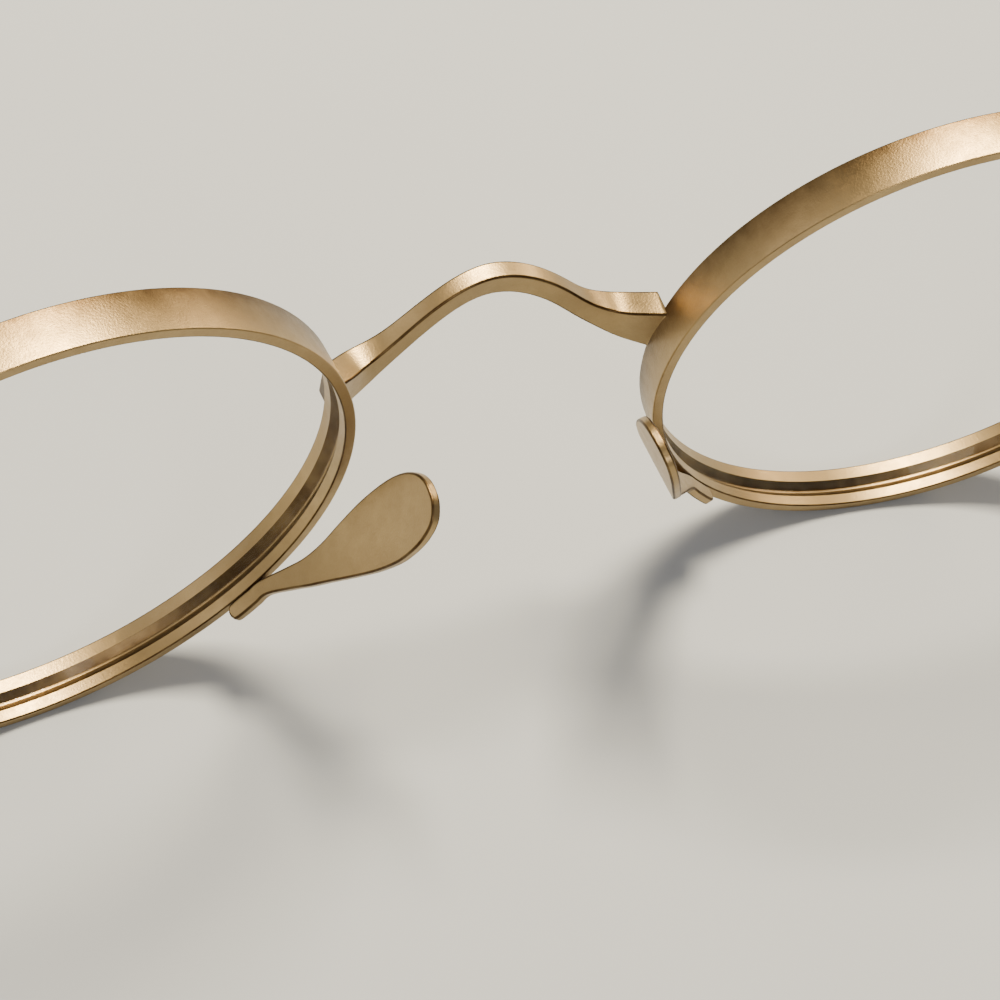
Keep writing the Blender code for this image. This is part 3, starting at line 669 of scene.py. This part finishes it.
HINGE = np.array((65.0, 12.0, 7.52))
ARM_OFFSET = 2.03
TEMPLE_GAP = 0.02
TEMPLE_LENGTH = 145.0
TEMPLE_STRAIGHT = 97.0
TEMPLE_SLOPE = radians(3.0)
EAR_BEND_RADIUS = 18.0
EAR_BEND = radians(30.88)
EAR_INWARD = 3.5
TIP_START = 86.0
TIP_ROUND_LENGTH = 2.6
TIP_CORNER = 1.1
TIP_ARC_STEPS = 8
TIP_STEPS = 120
TIP_END_STEPS = 16
MOUTH_CORNER = 0.9
MOUTH_SHRINK = 0.5
BORE_DEPTH = 3
BORE_GAP = 0.12
CORE_END = 128
STRIP_STEPS = 180
STRIP_CORNER = 0.3
STRIP_BROWN = 0.5
# Distance from the hinge, thickness and height
TEMPLE_ROWS = (
    (0.0, 1.25, 3.2),
    (10.0, 1.2, 3.0),
    (40.0, 1.05, 2.3),
    (84.0, 1.0, 1.9),
    (94.0, 0.8, 1.5),
    (TEMPLE_LENGTH, 0.7, 1.3),
)
TIP_ROWS = (
    (TIP_START, 2.0, 2.9),
    (92.0, 2.6, 3.5),
    (110.0, 2.6, 3.7),
    (130.0, 2.4, 4.7),
    (TEMPLE_LENGTH, 2.2, 5.0),
)


def temple_point(at):
    """The temple's middle line at a distance from the hinge, and its direction there."""
    start = HINGE + (ARM_OFFSET, TEMPLE_GAP, 0.0)
    falling = TEMPLE_SLOPE + min(max(at - TEMPLE_STRAIGHT, 0.0) / EAR_BEND_RADIUS, EAR_BEND)
    straight = min(at, TEMPLE_STRAIGHT)
    back = straight * cos(TEMPLE_SLOPE) + EAR_BEND_RADIUS * (sin(falling) - sin(TEMPLE_SLOPE))
    down = straight * sin(TEMPLE_SLOPE) + EAR_BEND_RADIUS * (cos(TEMPLE_SLOPE) - cos(falling))
    beyond = max(at - TEMPLE_STRAIGHT - EAR_BEND_RADIUS * EAR_BEND, 0.0)
    back += beyond * cos(falling)
    down += beyond * sin(falling)
    lean = max(at - TIP_START, 0.0) / (TEMPLE_LENGTH - TIP_START)
    point = start + np.array((-EAR_INWARD * lean**2, back, -down))
    return point, np.array((0.0, cos(falling), -sin(falling)))


def between_rows(rows, at):
    """Thickness and height at a distance, straight from row to row."""
    rows = np.array(rows)
    i = int(np.clip(np.searchsorted(rows[:, 0], at) - 1, 0, len(rows) - 2))
    t = np.clip((at - rows[i, 0]) / (rows[i + 1, 0] - rows[i, 0]), 0, 1)
    return rows[i, 1:] * (1 - t) + rows[i + 1, 1:] * t


def strip(rows, places, corner, grow=0.0, steps=ARC_STEPS, shrink=None):
    """Loops along the temple's middle line, and the brown on the last one's corners."""
    loops = []
    for at in places:
        point, along = temple_point(at)
        thickness, height = between_rows(rows, at)
        section, corners = rectangle(thickness + grow, height + grow, corner, steps)
        if shrink:
            section = section * shrink(at)
        up = Z if at == 0 else np.cross(X, along)
        loops.append(placed(section, point, X, up))
    return loops, corners


def tip_end(at):
    """How much of the tip's full section is left at a distance, as its end rounds off."""
    before_end = min(1.0, (TEMPLE_LENGTH - at) / TIP_ROUND_LENGTH)
    return max(0.03, (1 - (1 - before_end) ** 2) ** 0.5)


def make_temple(side, mirror):
    """The metal temple, whose end is the core of the tip, and the tip with its hollow mouth."""
    body = f"temple_{side}_body"
    loops, corners = strip(TEMPLE_ROWS, np.linspace(0, CORE_END, STRIP_STEPS), STRIP_CORNER)
    edges = np.tile(corners * STRIP_BROWN, len(loops))
    name = f"temple_{side}"
    gold_piece(f"{name}_strip", body, loops, name, mirror, edges, look=GOLD_TEMPLE)
    straight = np.linspace(TIP_START, TEMPLE_LENGTH - TIP_ROUND_LENGTH, TIP_STEPS)
    turns = np.linspace(0, pi / 2, TIP_END_STEPS + 1)[1:]
    places = np.concatenate([straight, TEMPLE_LENGTH - TIP_ROUND_LENGTH * np.cos(turns)])
    outside, _ = strip(TIP_ROWS, places, TIP_CORNER, 0.0, TIP_ARC_STEPS, tip_end)
    mouth, _ = strip(TIP_ROWS, [TIP_START], MOUTH_CORNER, -MOUTH_SHRINK, TIP_ARC_STEPS)
    inside = np.linspace(TIP_START, TIP_START + BORE_DEPTH, 4)
    bore, _ = strip(TEMPLE_ROWS, inside, STRIP_CORNER, BORE_GAP, TIP_ARC_STEPS)
    loops = bore[::-1] + mouth + outside
    points = np.concatenate(loops)
    name = f"temple_tip_{side}"
    piece(f"{name}_sleeve", body, points, lofted(loops), ACETATE, mirror, (name,))


# ---------------------------------------------------------------- endpieces

ARM_HEIGHT = 3.2
ARM_BLOCK_THICKNESS = 3.2
ARM_THICKNESS = 1.25
ARM_THINNING = (3.0, 10.5)
ARM_BEND_RADIUS = 3.0
ARM_START = 21.8
ARM_CLEAR_OF_RIM = 0.7
ARM_IN_RIM = 0.12
ARM_CORNER = 0.2
ARM_BROWN = 0.6


def smooth_step(low, high, at):
    t = min(1.0, max(0.0, (at - low) / (high - low)))
    return t * t * (3 - 2 * t)


def make_endpiece(side, mirror):
    """The upper locking block, drawn out into an arm that turns back to the hinge."""
    lift = HINGE[2] * Z
    arm_x = HINGE[0] + ARM_OFFSET
    start = RING_CENTRE + ARM_START * RING_OUT + lift
    corner = RING_CENTRE + (arm_x - RING_CENTRE[0]) / RING_OUT[0] * RING_OUT + lift
    end = np.array((arm_x, HINGE[1] - TEMPLE_GAP, HINGE[2]))
    first, second = unit(corner - start), Y
    turn = np.arccos(first @ second)
    cut = ARM_BEND_RADIUS * np.tan(turn / 2)
    inward = unit(second - (second @ first) * first)
    centre = corner - cut * first + ARM_BEND_RADIUS * inward
    bend_start = np.linalg.norm(corner - start) - cut
    before_bend = np.linspace(ARM_CLEAR_OF_RIM, bend_start, 46)
    stops = [(start + t * first, first, t) for t in before_bend]
    for angle in np.linspace(0, turn, 34)[1:]:
        point = centre + ARM_BEND_RADIUS * (sin(angle) * first - cos(angle) * inward)
        along = cos(angle) * first + sin(angle) * inward
        stops.append((point, along, bend_start + ARM_BEND_RADIUS * angle))
    leave = corner + cut * second
    straight = np.linalg.norm(end - leave)
    for t in np.linspace(0, straight, 8)[1:]:
        stops.append((leave + t * second, second, bend_start + ARM_BEND_RADIUS * turn + t))
    loops = []
    for point, along, at in stops:
        thinned = smooth_step(*ARM_THINNING, at)
        thickness = ARM_BLOCK_THICKNESS + thinned * (ARM_THICKNESS - ARM_BLOCK_THICKNESS)
        section, corners = rectangle(thickness, ARM_HEIGHT, ARM_CORNER)
        loops.append(placed(section, point, np.cross(along, Z), Z))
    from_centre = loops[0] - RING_CENTRE
    reach = ((RIM_RADIUS - ARM_IN_RIM) ** 2 - from_centre[:, 2] ** 2) ** 0.5
    loops.insert(0, loops[0] + np.outer(reach - from_centre @ RING_OUT, RING_OUT))
    edges = np.tile(corners * ARM_BROWN, len(loops))
    name = f"endpiece_{side}"
    gold_piece(f"{name}_arm", "front", loops, name, mirror, edges)


# ---------------------------------------------------------------- CAD nodes that stay

# The node's name without its side, its material, and the width of its broken edges
KEPT_NODES = (
    ("closing_block", GOLD, 0.08),
    ("hinge_front_leaf", GOLD, 0.05),
    ("hinge_temple_leaf", GOLD, 0.05),
    ("rim_lock_screw", STEEL, 0.03),
    ("hinge_screw", STEEL, 0.03),
    ("hinge_washer_upper", NYLON, 0.01),
    ("hinge_washer_lower", NYLON, 0.01),
)
WELD_DISTANCE = 0.002
BEVEL_ABOVE = radians(32)


def refine(node, look, width):
    """A CAD node keeps its shape and gets broken edges and a finished material."""
    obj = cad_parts[node]
    obj.data.materials.clear()
    obj.data.materials.append(look)
    weld = obj.modifiers.new("weld", "WELD")
    weld.merge_threshold = WELD_DISTANCE * MM
    bevel = obj.modifiers.new("bevel", "BEVEL")
    bevel.width = width * MM
    bevel.segments = 3
    bevel.limit_method = "ANGLE"
    bevel.angle_limit = BEVEL_ABOVE
    bevel.harden_normals = True
    normals = obj.modifiers.new("normals", "WEIGHTED_NORMAL")
    normals.keep_sharp = True


make_bridge()
for side, mirror in (("left", False), ("right", True)):
    make_rim(side, mirror)
    make_lens(side, mirror)
    make_pad(side, mirror)
    make_temple(side, mirror)
    make_endpiece(side, mirror)
    for node, look, width in KEPT_NODES:
        refine(f"{node}_{side}", look, width)


# ---------------------------------------------------------------- floor, lights and camera

FLOOR_REACH = 3.0
FLOOR_HEIGHT = -0.0001
WORLD_COLOUR = (0.93, 0.95, 1.0, 1)
WORLD_STRENGTH = 0.22
LIGHT_TARGET = (0.0, -0.05, 0.02)
# Name, place, width and height, power and colour
LIGHTS = (
    ("overhead", (-0.12, -0.42, 0.72), (0.27, 0.22), 17.5, (1.0, 0.86, 0.62)),
    ("from_behind", (0.15, 0.75, 0.55), (0.5, 0.25), 3.4, (1.0, 0.92, 0.80)),
    ("low_right", (-0.72, -0.46, 0.34), (0.40, 0.24), 2.8, (1.0, 0.82, 0.56)),
    ("low_left", (0.66, -0.45, 0.36), (0.55, 0.45), 1.2, (1.0, 0.92, 0.80)),
)
CAMERA_AZIMUTH = radians(143.47)
CAMERA_ELEVATION = radians(55.62)
CAMERA_ROLL = radians(-17.83)
CAMERA_DISTANCE = 204.34
CAMERA_TARGET = np.array((-0.948, 0.0, -10.60))
CAMERA_LENS = 98.97
CAMERA_SENSOR = 36.0
CAMERA_CLIP = (0.005, 20.0)


def floor_look():
    g = Graph("pale_floor")
    mottle = g.noise(9.0, 3.0, 0.5)
    tone = g.blend(g.ramp(mottle, 0.3, 0.7), FLOOR_TONE, FLOOR_SHADE)
    inputs = {"Base Color": tone, "Roughness": 0.75}
    return g.finish(g.add("ShaderNodeBsdfPrincipled", inputs).outputs[0])


def make_floor():
    mesh = bpy.data.meshes.new("floor")
    directions = ((-1, -1), (1, -1), (1, 1), (-1, 1))
    corners = [(x * FLOOR_REACH, y * FLOOR_REACH, 0) for x, y in directions]
    mesh.from_pydata(corners, [], [(0, 1, 2, 3)])
    mesh.materials.append(floor_look())
    floor = bpy.data.objects.new("floor", mesh)
    bpy.context.scene.collection.objects.link(floor)
    floor.location.z = FLOOR_HEIGHT


def area_light(name, place, size, power, colour):
    data = bpy.data.lights.new(name, "AREA")
    data.shape = "RECTANGLE"
    data.size, data.size_y = size
    data.energy = power
    data.color = colour
    light = bpy.data.objects.new(name, data)
    light.location = place
    aim = Vector(LIGHT_TARGET) - Vector(place)
    light.rotation_euler = aim.to_track_quat("-Z", "Y").to_euler()
    bpy.context.scene.collection.objects.link(light)


def make_lights():
    world = bpy.data.worlds.new("studio")
    bpy.context.scene.world = world
    world.use_nodes = True
    background = world.node_tree.nodes["Background"]
    background.inputs["Color"].default_value = WORLD_COLOUR
    background.inputs["Strength"].default_value = WORLD_STRENGTH
    for light in LIGHTS:
        area_light(*light)


def make_camera():
    """A camera that looks down at the target from behind, on the wearer's left, rolled a little."""
    towards = np.array(
        (
            sin(CAMERA_AZIMUTH) * cos(CAMERA_ELEVATION),
            -cos(CAMERA_AZIMUTH) * cos(CAMERA_ELEVATION),
            sin(CAMERA_ELEVATION),
        )
    )
    level = unit(np.cross(-towards, Z))
    down = np.cross(-towards, level)
    right = cos(CAMERA_ROLL) * level + sin(CAMERA_ROLL) * down
    up = sin(CAMERA_ROLL) * level - cos(CAMERA_ROLL) * down
    place = (MIDDLE + CAMERA_TARGET + CAMERA_DISTANCE * towards) * MM
    data = bpy.data.cameras.new("camera")
    data.sensor_width = CAMERA_SENSOR
    data.lens = CAMERA_LENS
    data.clip_start, data.clip_end = CAMERA_CLIP
    camera = bpy.data.objects.new("camera", data)
    bpy.context.scene.collection.objects.link(camera)
    turn = Matrix([list(row) for row in np.array([right, up, towards]).T]).to_4x4()
    camera.matrix_world = Matrix.Translation(Vector(place)) @ turn
    bpy.context.scene.camera = camera


make_floor()
make_lights()
make_camera()
